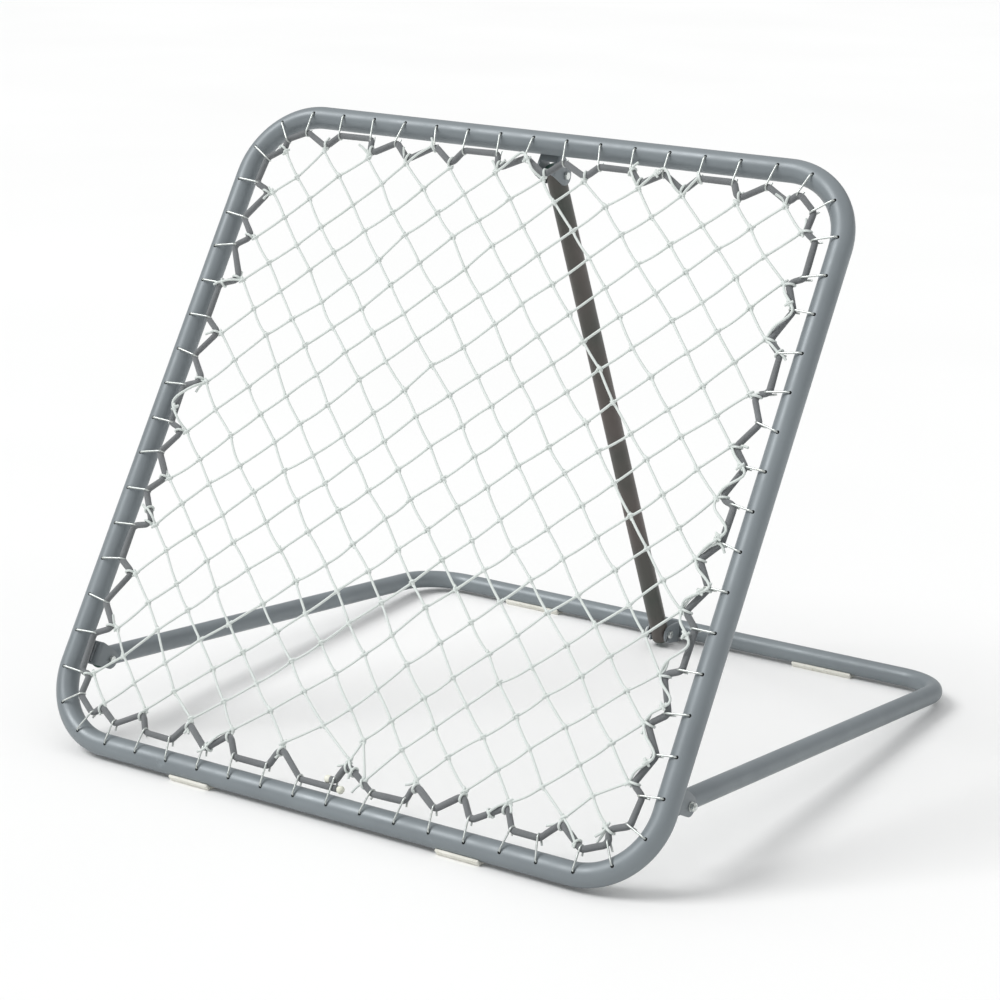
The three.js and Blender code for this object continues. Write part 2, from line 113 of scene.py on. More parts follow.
JOINTS = {j["name"]: j for j in frame["joints"]}
BASE_AT = Vector(JOINTS["base_fold"]["pos_m"])
STRUT_AT = Vector(JOINTS["strut_fold"]["pos_m"])
FRAME_AT = Vector((
    0,
    BASE_AT.y - PIVOT_BACK * math.cos(FRAME_LEAN) - PIVOT_UP * math.sin(FRAME_LEAN),
    FRAME_R + FOOT_H,
))
REAR_Z = BASE_R + FOOT_H
ARM_DROP = math.asin((BASE_AT.z - REAR_Z) / ARM_LENGTH)
REAR_BOLT = Vector((
    0,
    BASE_AT.y + (ARM_LENGTH - REAR_BOLT_REACH) * math.cos(ARM_DROP),
    REAR_Z + REAR_BOLT_REACH * math.sin(ARM_DROP),
))
STRUT_LENGTH = (REAR_BOLT - STRUT_AT).length
STRUT_LEAN = math.asin((REAR_BOLT.y - STRUT_AT.y) / STRUT_LENGTH)


def turned(at, angle):
    return Matrix.Translation(at) @ Matrix.Rotation(angle, 4, "X")


FRAME_M = turned(FRAME_AT, -FRAME_LEAN)
BASE_M = turned(BASE_AT, -ARM_DROP)
STRUT_M = turned(STRUT_AT, STRUT_LEAN)
TOP_PIVOT_Z = 2 * RAIL_AT - STRUT_PIVOT_DOWN


def placed(name, data):
    """A new object for a mesh, camera or light, in the scene."""
    made = bpy.data.objects.new(name, data)
    bpy.context.scene.collection.objects.link(made)
    return made


# ---- Camera, light and floor ---------------------------------
LENS = 98.45  # millimetres, on a sensor 36 wide
CAMERA_AT = (2.0080, -3.1862, 1.3814)
CAMERA_AIM = (-0.0122, -0.0373, 0.3407)
CAMERA_ROLL = math.radians(1.302)


def make_camera():
    data = bpy.data.cameras.new("camera")
    data.sensor_width = 36
    data.lens = LENS
    data.clip_end = 100
    camera = placed("camera", data)
    camera.location = CAMERA_AT
    look = (Vector(CAMERA_AIM) - camera.location).to_track_quat("-Z", "Y")
    camera.rotation_mode = "QUATERNION"
    camera.rotation_quaternion = look @ Quaternion((0, 0, 1), CAMERA_ROLL)
    bpy.context.scene.camera = camera


def soft_sun(name, way, spread, power):
    """Even light from one side, as broad as a large soft box."""
    data = bpy.data.lights.new(name, "SUN")
    data.angle = spread
    data.energy = power
    light = placed(name, data)
    light.rotation_mode = "QUATERNION"
    light.rotation_quaternion = Vector(way).to_track_quat("-Z", "Y")


def new_ramp(tree, stops):
    """A colour ramp through (position, (r, g, b)) stops."""
    node = tree.nodes.new("ShaderNodeValToRGB")
    elements = node.color_ramp.elements
    while len(elements) < len(stops):
        elements.new(0.5)
    for element, (position, colour) in zip(elements, stops):
        element.position = position
        element.color = (*colour, 1)
    return node


def make_world(*stops):
    """A plain studio in greys: (height up the sky, grey) stops."""
    world = bpy.data.worlds.new("studio")
    bpy.context.scene.world = world
    world.use_nodes = True
    tree = world.node_tree
    way = tree.nodes.new("ShaderNodeTexCoord")
    split = tree.nodes.new("ShaderNodeSeparateXYZ")
    ramp = new_ramp(tree, [(height, (grey, grey * 1.005, grey * 1.01)) for height, grey in stops])
    tree.links.new(way.outputs["Generated"], split.inputs[0])
    tree.links.new(split.outputs["Z"], ramp.inputs[0])
    tree.links.new(ramp.outputs[0], tree.nodes["Background"].inputs["Color"])


# ---- Node materials ------------------------------------------
class Look:
    """A Principled material put together node by node."""

    def __init__(self, name, metallic=0.0, specular=0.5):
        self.material = bpy.data.materials.new(name)
        self.material.use_nodes = True
        self.tree = self.material.node_tree
        self.shader = self.tree.nodes["Principled BSDF"]
        self.set(self.shader, {"Metallic": metallic, "Specular IOR Level": specular})
        self.place = self.node("TexCoord").outputs["Object"]

    def set(self, node, inputs):
        """Gives each of a node's inputs a value or another node's output."""
        for name, source in inputs.items():
            if isinstance(source, bpy.types.NodeSocket):
                self.tree.links.new(source, node.inputs[name])
            else:
                node.inputs[name].default_value = source

    def node(self, kind, **inputs):
        made = self.tree.nodes.new("ShaderNode" + kind)
        self.set(made, inputs)
        return made

    def stretched(self, x, y, z):
        return self.node("Mapping", Scale=(x, y, z), Vector=self.place).outputs[0]

    def noise(self, scale, detail, rough=0.5, place=None):
        place = place or self.place
        return self.node("TexNoise", Scale=scale, Detail=detail, Roughness=rough, Vector=place).outputs["Fac"]

    def cells(self, scale):
        return self.node("TexVoronoi", Scale=scale, Vector=self.place).outputs["Distance"]

    def maths(self, what, a, b=0.0):
        node = self.node("Math")
        node.operation = what
        self.set(node, {0: a, 1: b})
        return node.outputs[0]

    def between(self, value, low, high, out_low=0.0, out_high=1.0):
        limits = {"From Min": low, "From Max": high, "To Min": out_low, "To Max": out_high}
        return self.node("MapRange", Value=value, **limits).outputs[0]

    def colours(self, value, *stops):
        node = new_ramp(self.tree, stops)
        self.set(node, {"Fac": value})
        return node.outputs["Color"]

    def mixed(self, factor, a, b, blend="MIX"):
        node = self.node("Mix")
        node.data_type = "RGBA"
        node.blend_type = blend
        a, b = ((*colour, 1) if isinstance(colour, tuple) else colour for colour in (a, b))
        self.set(node, {"Factor": factor, 6: a, 7: b})
        return node.outputs[2]

    def lay(self):
        """How far round (0 to 1) and how far along (metres) a cord the surface is."""
        node = self.node("UVMap")
        node.uv_map = "lay"
        split = self.node("SeparateXYZ", Vector=node.outputs[0])
        return split.outputs["X"], split.outputs["Y"]

    def plait(self, yarns, radius):
        """How high a cord's yarns stand where two families of them pass over and under."""
        around, along = self.lay()
        steps = self.maths("MULTIPLY", along, yarns / (2 * math.pi * radius))
        turns = self.maths("MULTIPLY", around, float(yarns))
        waves = [self.maths("SINE", self.maths("MULTIPLY", self.maths(way, turns, steps), 2 * math.pi))
                 for way in ("ADD", "SUBTRACT")]
        return self.between(self.maths("MULTIPLY", *waves), -1, 1)

    def sheen(self, weight, roughness):
        self.set(self.shader, {"Sheen Weight": weight, "Sheen Roughness": roughness})

    def bump(self, *layers):
        """Bumps one on another: (height, strength, depth in metres) each."""
        normal = {}
        for height, strength, depth in layers:
            node = self.node("Bump", Strength=strength, Distance=depth, Height=height, **normal)
            normal = {"Normal": node.outputs[0]}
        self.set(self.shader, normal)

    def colour(self, source):
        self.set(self.shader, {"Base Color": source})

    def rough(self, source):
        self.set(self.shader, {"Roughness": source})

    def uneven(self, scale, low, high, detail=2):
        """A dullness that wanders between two values."""
        self.rough(self.between(self.noise(scale, detail), 0.3, 0.7, low, high))


def paint(name, dark, light, metallic):
    """Sprayed satin enamel with a fine orange peel, dull patches and small scuffs."""
    look = Look(name, metallic=metallic)
    base = look.colours(look.noise(7, 3, 0.55), (0.3, dark), (0.7, light))
    speck = look.between(look.noise(240, 2), 0.35, 0.65, 0.94, 1.05)
    shade = look.colours(speck, (0.0, (0.9, 0.9, 0.9)), (1.0, (1, 1, 1)))
    base = look.mixed(1.0, base, shade, "MULTIPLY")
    scuffs = look.between(look.noise(38, 5, 0.72, look.stretched(1, 2.4, 0.8)), 0.66, 0.72)
    chips = look.between(look.cells(55), 0.0, 0.045, 1.0, 0.0)
    chips = look.maths("MULTIPLY", chips, look.between(look.noise(13, 2), 0.56, 0.66))
    worn = tuple(min(1.0, c * 1.55) for c in light)
    base = look.mixed(look.maths("MULTIPLY", scuffs, 0.30), base, worn)
    base = look.mixed(look.maths("MULTIPLY", chips, 0.65), base, tuple(c * 0.35 for c in dark))
    look.colour(base)
    satin = look.between(look.noise(26, 3), 0.3, 0.7, 0.36, 0.50)
    look.rough(look.maths("ADD", satin, look.maths("MULTIPLY", scuffs, 0.16)))
    look.bump((look.noise(620, 2), 0.22, 0.00012), (chips, 0.25, 0.0001))
    return look.material


def plated(name, dark, light, roughness):
    """Zinc plate: pale metal with a faint spangle and dull streaks."""
    look = Look(name, metallic=0.9)
    base = look.colours(look.noise(420, 3, 0.6), (0.3, dark), (0.7, light))
    streaks = look.between(look.noise(90, 2), 0.55, 0.8, 0.0, 0.35)
    look.colour(look.mixed(streaks, base, (0.60, 0.58, 0.50)))
    look.uneven(160, roughness - 0.08, roughness + 0.12, 3)
    look.bump((look.noise(900, 2), 0.3, 0.00006))
    return look.material


def green_plastic():
    """Moulded plug, dark green."""
    look = Look("plug_plastic", specular=0.4)
    look.colour(look.colours(look.noise(60, 3), (0.3, (0.014, 0.058, 0.043)), (0.75, (0.028, 0.092, 0.069))))
    look.uneven(130, 0.46, 0.64)
    look.bump((look.noise(1500, 2), 0.35, 0.00008))
    return look.material


def cream_rubber():
    """Cellular foot strip with grass and dust marks."""
    look = Look("foot_rubber", specular=0.3)
    base = look.colours(look.noise(45, 4, 0.6), (0.3, (0.74, 0.73, 0.66)), (0.7, (0.86, 0.85, 0.79)))
    dirt = look.between(look.noise(110, 5, 0.7), 0.58, 0.7)
    look.colour(look.mixed(look.maths("MULTIPLY", dirt, 0.5), base, (0.30, 0.27, 0.18)))
    look.uneven(200, 0.78, 0.94)
    look.bump((look.cells(700), 0.35, 0.00015), (look.noise(300, 3), 0.3, 0.00015))
    return look.material


def braid():
    """Shock cord's sheath, dull grey and a little furred."""
    look = Look("shock_cord_sheath", specular=0.25)
    look.sheen(0.25, 0.6)
    weave = look.plait(10, CORD_R)
    # The weave's low yarns are coloured far darker than its crests: painted shade in its hollows.
    low, middle, high = (0.058, 0.061, 0.064), (0.155, 0.164, 0.170), (0.255, 0.270, 0.280)
    base = look.colours(weave, (0.1, low), (0.55, middle), (0.95, high))
    faded = look.between(look.noise(16, 3), 0.35, 0.7, 0.0, 0.35)
    base = look.mixed(faded, base, (0.25, 0.265, 0.275))
    fuzz = look.noise(1400, 3, 0.7)
    look.colour(look.mixed(look.between(fuzz, 0.62, 0.75, 0.0, 0.4), base, (0.34, 0.345, 0.345)))
    look.uneven(300, 0.78, 0.92)
    look.bump((weave, 0.9, 0.0004), (fuzz, 0.4, 0.0002))
    return look.material


def twine():
    """White plaited net cord, smooth and a little soiled."""
    look = Look("net_twine", specular=0.45)
    look.sheen(0.15, 0.5)
    weave = look.plait(5, TWINE_R)
    # Where the plait sinks the twine is coloured greyer: painted shade in its grooves.
    low, middle, high = (0.54, 0.59, 0.565), (0.68, 0.725, 0.70), (0.78, 0.82, 0.80)
    base = look.colours(weave, (0.0, low), (0.6, middle), (1.0, high))
    soil = look.between(look.noise(14, 3, 0.6), 0.55, 0.75, 0.0, 0.35)
    look.colour(look.mixed(soil, base, (0.52, 0.58, 0.53)))
    look.uneven(400, 0.42, 0.6)
    look.bump((weave, 0.35, 0.0002), (look.noise(1500, 3), 0.2, 0.00008))
    return look.material


def cream_plastic():
    """What the shock cord's ends are dipped in."""
    look = Look("cord_core", specular=0.4)
    look.colour(look.colours(look.noise(160, 4, 0.6), (0.3, (0.68, 0.68, 0.58)), (0.7, (0.82, 0.82, 0.72))))
    look.uneven(260, 0.5, 0.7)
    look.bump((look.noise(700, 3), 0.4, 0.0002))
    return look.material


def weld_metal():
    """Weld bead under the brackets' paint."""
    look = Look("weld_paint", metallic=0.25)
    look.colour(look.colours(look.noise(300, 4, 0.65), (0.3, (0.13, 0.14, 0.15)), (0.7, (0.24, 0.26, 0.275))))
    look.uneven(200, 0.38, 0.55)
    look.bump((look.noise(520, 3), 0.5, 0.0003))
    return look.material


def floor_look():
    look = Look("floor", specular=0.1)
    look.colour(look.colours(look.noise(0.8, 2), (0.3, (0.86, 0.86, 0.855)), (0.7, (0.88, 0.88, 0.875))))
    look.uneven(3, 0.88, 0.94)
    return look.material


# ---- Meshes --------------------------------------------------
X, Y, Z = np.eye(3)


def unit(v):
    return v / np.linalg.norm(v)


def turn_of(sides):
    """Angles evenly spaced round one turn."""
    return 2 * math.pi * np.arange(sides) / sides


def ring_on_x(x, radius, angles):
    return np.stack([np.broadcast_to(x, len(angles)), radius * np.cos(angles), radius * np.sin(angles)], 1)


class Build:
    """Vertices, faces and cord coordinates of one piece as it is put together."""

    def __init__(self):
        self.verts, self.faces, self.lay, self.count = [], [], [], 0

    def add(self, verts, faces, lay=None):
        verts = np.asarray(verts, float).reshape(-1, 3)
        self.faces += [[i + self.count for i in face] for face in faces]
        self.lay += lay if lay is not None else [[(0.0, 0.0)] * len(face) for face in faces]
        self.verts.append(verts)
        self.count += len(verts)

    def rings(self, rings, closed=False, inside=False, lengths=None):
        """A skin over rings of points that run anticlockwise about the way they follow each other."""
        rings = np.asarray(rings, float)
        n, m = rings.shape[:2]
        rows = n if closed else n - 1
        if lengths is None:
            lengths = np.zeros(n + 1)
        faces, lay = [], []
        for i in range(rows):
            j = (i + 1) % n
            low, high = float(lengths[i]), float(lengths[i + 1])
            for k in range(m):
                l = (k + 1) % m
                faces.append([i * m + k, i * m + l, j * m + l, j * m + k])
                a, b = k / m, (k + 1) / m
                lay.append([(a, low), (b, low), (b, high), (a, high)])
        if not closed:
            faces.append(list(range(m))[::-1])
            faces.append([(n - 1) * m + k for k in range(m)])
            lay += [[(0.0, 0.0)] * m] * 2
        if inside:
            faces = [face[::-1] for face in faces]
            lay = [corners[::-1] for corners in lay]
        self.add(rings.reshape(-1, 3), faces, lay)
        return self

    def cord(self, path, radius, sides, closed=False):
        """A round cord along a path."""
        path = np.asarray(path, float)
        if closed:
            before, after = np.roll(path, 1, 0), np.roll(path, -1, 0)
        else:
            before, after = np.vstack([path[:1], path[:-1]]), np.vstack([path[1:], path[-1:]])
        ways = after - before
        ways /= np.linalg.norm(ways, axis=1)[:, None]
        ends = np.vstack([path, path[:1]]) if closed else path
        lengths = np.concatenate([[0], np.cumsum(np.linalg.norm(np.diff(ends, axis=0), axis=1)), [0]])
        normal = Y if abs(ways[0][1]) < 0.9 else X
        normals = []
        for way in ways:
            normal = unit(normal - way * (normal @ way))
            normals.append(normal)
        normals = np.array(normals)
        if closed:  # spread the turn that carrying the normal round has made
            last = unit(normals[-1] - ways[0] * (normals[-1] @ ways[0]))
            turn = math.atan2(np.cross(ways[0], normals[0]) @ last, normals[0] @ last)
            spin = -turn * np.arange(len(path)) / len(path)
            sideways = np.cross(ways, normals)
            normals = normals * np.cos(spin)[:, None] + sideways * np.sin(spin)[:, None]
        sideways = np.cross(ways, normals)
        angles = turn_of(sides)
        radii = np.broadcast_to(np.asarray(radius, float), len(path))[:, None, None]
        spokes = normals[:, None] * np.cos(angles)[:, None] + sideways[:, None] * np.sin(angles)[:, None]
        return self.rings(path[:, None] + radii * spokes, closed=closed, lengths=lengths)

    def lathe(self, profile, sides, axis="x"):
        """(radius, place) pairs turned about an axis; a radius of 0 closes the end."""
        rings = [ring_on_x(at, max(r, 1e-5), turn_of(sides)) for r, at in profile]
        return self.rings(rings if axis == "x" else np.roll(rings, -1, 2))

    def prism(self, outline, low, high, along):
        """An outline given a depth from low to high, along x (outline y, z) or z (outline x, y)."""
        outline = np.asarray(outline, float)
        rings = []
        for at in (low, high):
            fill = np.full(len(outline), at)
            rings.append(np.column_stack([fill, outline] if along == "x" else [outline, fill]))
        return self.rings(rings)

    def object(self, name, matrix=None):
        mesh = bpy.data.meshes.new(name)
        mesh.from_pydata(np.vstack(self.verts).tolist(), [], self.faces)
        layer = mesh.uv_layers.new(name="lay")
        layer.data.foreach_set("uv", np.array([c for face in self.lay for c in face], np.float32).ravel())
        if matrix is not None:
            mesh.transform(matrix)
        mesh.update()
        return placed(name, mesh)


def evaluated(made):
    """Replaces an object's mesh by what its modifiers make of it."""
    bpy.context.view_layer.update()
    mesh = bpy.data.meshes.new_from_object(made.evaluated_get(bpy.context.evaluated_depsgraph_get()))
    made.modifiers.clear()
    old, made.data = made.data, mesh
    bpy.data.meshes.remove(old)
    return made


def carve(made, cutter, operation="DIFFERENCE"):
    modifier = made.modifiers.new("carve", "BOOLEAN")
    modifier.operation = operation
    modifier.solver = "EXACT"
    modifier.object = cutter
    evaluated(made)
    bpy.data.objects.remove(cutter)
    return made


def bevelled(made, width, segments=2):
    modifier = made.modifiers.new("edges", "BEVEL")
    modifier.width = width
    modifier.segments = segments
    modifier.limit_method = "ANGLE"
    modifier.angle_limit = math.radians(40)
    return evaluated(made)


def drills(holes, sides=24):
    """One cutter for several holes: (centre, axis, radius, length) each."""
    cutter = Build()
    angles = turn_of(sides)
    for centre, axis, radius, length in holes:
        axis = unit(np.asarray(axis, float))
        side = unit(np.cross(axis, [0.3, 0.5, 0.8]))
        other = np.cross(axis, side)
        ring = radius * (np.cos(angles)[:, None] * side + np.sin(angles)[:, None] * other)
        centre = np.asarray(centre, float)
        cutter.rings([centre - axis * length / 2 + ring, centre + axis * length / 2 + ring])
    return cutter.object("cutter")


def finished(made, material, body, replaces=(), matrix=None, sharp=0):
    """Gives a piece its material, body and shading."""
    if matrix is not None:
        made.data.transform(matrix)
    made.data.materials.clear()
    made.data.materials.append(material)
    made.data.shade_smooth()
    if sharp:
        made.data.set_sharp_from_angle(angle=math.radians(sharp))
    made.data.update()
    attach(made, body)
    if replaces:
        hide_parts(*replaces)


def rounded(points, radius, step=0.002):
    """A polyline with each inner corner on an arc, as large as asked or as its legs leave room for."""
    points = [np.asarray(p, float) for p in points]
    out = [points[0]]
    for a, b, c in zip(points, points[1:], points[2:]):
        u, v = unit(a - b), unit(c - b)
        turn = math.pi - math.acos(max(-1.0, min(1.0, float(u @ v))))
        if turn < 0.02:
            out.append(b)
            continue
        cut = min(radius * math.tan(turn / 2), 0.48 * min(np.linalg.norm(a - b), np.linalg.norm(c - b)))
        r = cut / math.tan(turn / 2)
        centre = b + unit(u + v) * r / math.cos(turn / 2)
        first, last = b + u * cut - centre, b + v * cut - centre
        steps = max(3, int(turn * r / step) + 1)
        for k in range(steps + 1):
            t = k / steps
            share = (math.sin((1 - t) * turn) * first + math.sin(t * turn) * last) / math.sin(turn)
            out.append(centre + share)
    out.append(points[-1])
    return out


def evened(points, step):
    """Points along a polyline no further apart than step."""
    out = [points[0]]
    for a, b in zip(points, points[1:]):
        count = max(1, math.ceil(np.linalg.norm(b - a) / step))
        out += [a + (b - a) * k / count for k in range(1, count + 1)]
    return out


def curved(points, per):
    """A smooth curve through points (Catmull-Rom)."""
    p = np.asarray(points, float)
    n = len(p)
    out = []
    for i in range(n - 1):
        b, c = p[i], p[i + 1]
        a = p[i - 1] if i else 2 * b - c
        d = p[i + 2] if i + 2 < n else 2 * c - b
        for k in range(per):
            t = k / per
            out.append(0.5 * (2 * b + (c - a) * t + (2 * a - 5 * b + 4 * c - d) * t * t
                              + (3 * b - 3 * c + d - a) * t ** 3))
    return [*out, p[-1]]


# ---- Tubes ---------------------------------------------------
FRAME_SIDES = 72
BASE_SIDES = 56
BEND_STEPS = 30
FRAME_DRILL = 0.008  # length of a hook hole's drill, which stops inside the tube
BOLT_DRILL = 0.040  # one that goes right through


def on_frame(s, inward, y=0.0):
    """Frame-axes point a distance s round the frame from the bottom rail's middle, going right,
    moved inwards, with the ways along the tube and inwards there."""
    run = (s + STRAIGHT_HALF) % FRAME_LENGTH
    side, along = divmod(run, QUARTER)
    turn = max(0.0, along - 2 * STRAIGHT_HALF) / FRAME_BEND
    x = min(along, 2 * STRAIGHT_HALF) - STRAIGHT_HALF
    out_x, out_z = math.sin(turn), -math.cos(turn)
    at_x = x + out_x * (FRAME_BEND - inward)
    at_z = -STRAIGHT_HALF + out_z * (FRAME_BEND - inward)
    for _ in range(int(side)):
        at_x, at_z, out_x, out_z = -at_z, at_x, -out_z, out_x
    at = np.array([at_x, y, at_z + RAIL_AT])
    return at, np.array([-out_z, 0.0, out_x]), np.array([-out_x, 0.0, -out_z])


def hook_at(hook):
    return FIRST_HOLE + hook * PITCH


def cornered(s):
    return (s + STRAIGHT_HALF) % QUARTER > 2 * STRAIGHT_HALF


def past_bend(d, bend):
    """Offsets from the centre of a bend made into offsets from its centreline."""
    reach = np.linalg.norm(d, axis=1)
    return d * ((reach - bend) / np.maximum(reach, 1e-9))[:, None]


def off_frame(co):
    """Each point's offset from the frame tube's centreline."""
    p = co[:, [0, 2]] - [0, RAIL_AT]
    d = past_bend(p - np.clip(p, -STRAIGHT_HALF, STRAIGHT_HALF), FRAME_BEND)
    return np.column_stack([d[:, 0], co[:, 1], d[:, 1]])


def off_base(co):
    x = np.clip(co[:, 0], BASE_BEND - ARM_X, ARM_X - BASE_BEND)
    y = np.minimum(co[:, 1], ARM_LENGTH - BASE_BEND)
    return np.column_stack([past_bend(co[:, :2] - np.column_stack([x, y]), BASE_BEND), co[:, 2]])


def off_strut(co):
    return co * [1, 1, 0]


def true_normals(made, offset):
    """Sets a bent tube's normals from its centreline, so that its holes leave no dents in the shading."""
    mesh = made.data
    co = np.zeros(len(mesh.vertices) * 3, np.float32)
    mesh.vertices.foreach_get("co", co)
    radial = offset(co.reshape(-1, 3).astype(float))
    radial /= np.maximum(np.linalg.norm(radial, axis=1), 1e-9)[:, None]
    corner_verts = np.zeros(len(mesh.loops), np.int64)
    mesh.loops.foreach_get("vertex_index", corner_verts)
    counts = np.zeros(len(mesh.polygons), np.int64)
    mesh.polygons.foreach_get("loop_total", counts)
    flat = np.zeros(len(mesh.polygons) * 3, np.float32)
    mesh.polygons.foreach_get("normal", flat)
    flat = np.repeat(flat.reshape(-1, 3), counts, 0)
    radial = radial[corner_verts]
    lean = np.sum(flat * radial, 1)
    on_skin = (np.abs(lean) > 0.9)[:, None]
    mesh.normals_split_custom_set(np.where(on_skin, radial * np.sign(lean)[:, None], flat).tolist())


def tube(node, stops, radius, sides, holes, look, body, offset, matrix, closed=False):
    """A drilled tube through stops: (centre, first way out, second way out) each."""
    build = Build()
    angles = turn_of(sides) + math.pi / sides

    def skin(r):
        across, over = r * np.cos(angles)[:, None], r * np.sin(angles)[:, None]
        return [at + across * out + over * up for at, out, up in stops]

    if closed:
        build.rings(skin(radius), closed=True)
        build.rings(skin(radius - WALL), closed=True, inside=True)
    else:
        outer, inner = skin(radius), skin(radius - WALL)
        build.rings([*outer, *inner[::-1]], closed=True)
    made = carve(build.object(f"{node}_fine"), drills(holes))
    finished(made, look, body, [node], sharp=40)
    true_normals(made, offset)
    made.data.transform(matrix)


def frame_tube(look):
    spots = {round(side * QUARTER + STRAIGHT_HALF + (QUARTER - 2 * STRAIGHT_HALF) * k / BEND_STEPS, 6)
             for side in range(4) for k in range(BEND_STEPS + 1)}
    for hole in range(HOLES):
        s = hook_at(hole + 0.5) % FRAME_LENGTH
        if min(abs(s - spot) for spot in spots) > 0.004 and not cornered(s):
            spots.add(s)
    stops = []
    for s in sorted(spots):
        at, _, inward = on_frame(s, 0)
        stops.append((at, -inward, Y))
    holes = []
    for hole in range(HOLES):
        at, _, _ = on_frame(hook_at(hole), 0)
        holes.append((at - Y * (FRAME_R - WALL / 2), Y, HOLE_R, FRAME_DRILL))
    tube("frame_tube", stops, FRAME_R, FRAME_SIDES, holes, look, "frame",
         off_frame, FRAME_M, closed=True)


def base_tube(look):
    bend_x, bend_y = ARM_X - BASE_BEND, ARM_LENGTH - BASE_BEND
    arm = (-OVERHANG, 0.03, 0.25, 0.5)
    stops = [(np.array([ARM_X, y, 0]), X, Z) for y in arm]
    for sign, first in ((1, 0), (-1, 1)):
        for k in range(BEND_STEPS + 1):
            a = (first + k / BEND_STEPS) * math.pi / 2
            out = np.array([math.cos(a), math.sin(a), 0])
            stops.append((np.array([sign * bend_x, bend_y, 0]) + out * BASE_BEND, out, Z))
    stops += [(np.array([-ARM_X, y, 0]), -X, Z) for y in arm[::-1]]
    holes = [((sign * ARM_X, 0, 0), X, BOLT_HOLE_R, BOLT_DRILL) for sign in (-1, 1)]
    tube("base_tube", stops, BASE_R, BASE_SIDES, holes, look, "base", off_base, BASE_M)


def strut_tube(look):
    length = STRUT_LENGTH + OVERHANG
    heights = (-length, -length + 0.05, -0.4, -0.05, OVERHANG)
    stops = [(z * Z, X, Y) for z in heights]
    holes = [((0, 0, z), X, BOLT_HOLE_R, BOLT_DRILL) for z in (0, -STRUT_LENGTH)]
    tube("strut_tube", stops, BASE_R, BASE_SIDES, holes, look, "strut", off_strut, STRUT_M)


# ---- Brackets ------------------------------------------------
NIB = 0.003  # a web's rounded corners
ROLLED = 0.00045  # sheet edges' bevel
BEAD_R = 0.0017
BEAD_STEP = 0.0007
RIPPLE = 0.0021  # from one ripple of a weld bead to the next


def arc(x, y, r, start, stop, count):
    return [(x + r * math.cos(a), y + r * math.sin(a)) for a in np.linspace(start, stop, count)]


def oblong(left, right, low, high):
    return [(left, low), (right, low), (right, high), (left, high)]


def clevis(name, reach, low, high, slotted=False, web_cut=None):
    """A U of folded sheet about its bolt, as in the CAD but with round folds and rolled edges."""
    tip, fold, pi = EAR_R + 0.001, SHEET_BEND - GAUGE, math.pi
    outer_x, inner_x = EAR_OUTER - SHEET_BEND, EAR_INNER - fold
    channel = [(-EAR_OUTER, tip)]
    channel += arc(-outer_x, -reach + SHEET_BEND, SHEET_BEND, pi, 1.5 * pi, 9)
    channel += arc(outer_x, -reach + SHEET_BEND, SHEET_BEND, 1.5 * pi, 2 * pi, 9)
    channel += [(EAR_OUTER, tip), (EAR_INNER, tip)]
    channel += arc(inner_x, -reach + GAUGE + fold, fold, 0, -pi / 2, 9)
    channel += arc(-inner_x, -reach + GAUGE + fold, fold, -pi / 2, -pi, 9)
    channel += [(-EAR_INNER, tip)]
    made = Build().prism(channel, -high, high, "z").object(name)

    def tangent(height):
        return pi - math.atan2(height, reach) - math.acos(EAR_R / math.hypot(reach, height))

    outline = [(-reach - 0.001, -low + NIB)] + arc(-reach + NIB, -low + NIB, NIB, pi, 1.5 * pi, 7)[1:]
    outline += arc(0, 0, EAR_R, -tangent(low), tangent(high), 41)
    outline += arc(-reach + NIB, high - NIB, NIB, pi / 2, pi, 7)[:-1] + [(-reach - 0.001, high - NIB)]
    wide = 2 * EAR_OUTER
    carve(made, Build().prism(outline, -wide, wide, "x").object("blank"), "INTERSECT")
    carve(made, drills([((0, 0, 0), X, BOLT_HOLE_R, 2 * wide)], 36))
    if slotted:
        slot = Build().prism(oblong(0, 2 * EAR_R, -BOLT_HOLE_R, BOLT_HOLE_R), -wide, wide, "x")
        carve(made, slot.object("slot", Matrix.Rotation(SLOT_WAY, 4, "X")))
    if web_cut is not None:
        outline = oblong(-outer_x, outer_x, -reach - SHEET_BEND, -reach + SHEET_BEND)
        carve(made, Build().prism(outline, web_cut - 2 * EAR_R, web_cut, "z").object("opening"))
    return bevelled(made, ROLLED)


def weld(name, points, look, body, matrix, seed):
    """A painted weld bead with its ripples."""
    rng = np.random.default_rng(seed)
    path = np.array(evened([np.asarray(p, float) for p in points], BEAD_STEP))
    ripples = np.abs(np.sin(np.arange(len(path)) * BEAD_STEP * math.pi / RIPPLE))
    radius = BEAD_R + 0.00025 * ripples + rng.normal(0, 0.00006, len(path))
    radius[:2] *= (0.55, 0.85)
    radius[-2:] *= (0.85, 0.55)
    path = path + rng.normal(0, 0.00012, path.shape)
    finished(Build().cord(path, radius, 12).object(name), look, body, matrix=matrix)


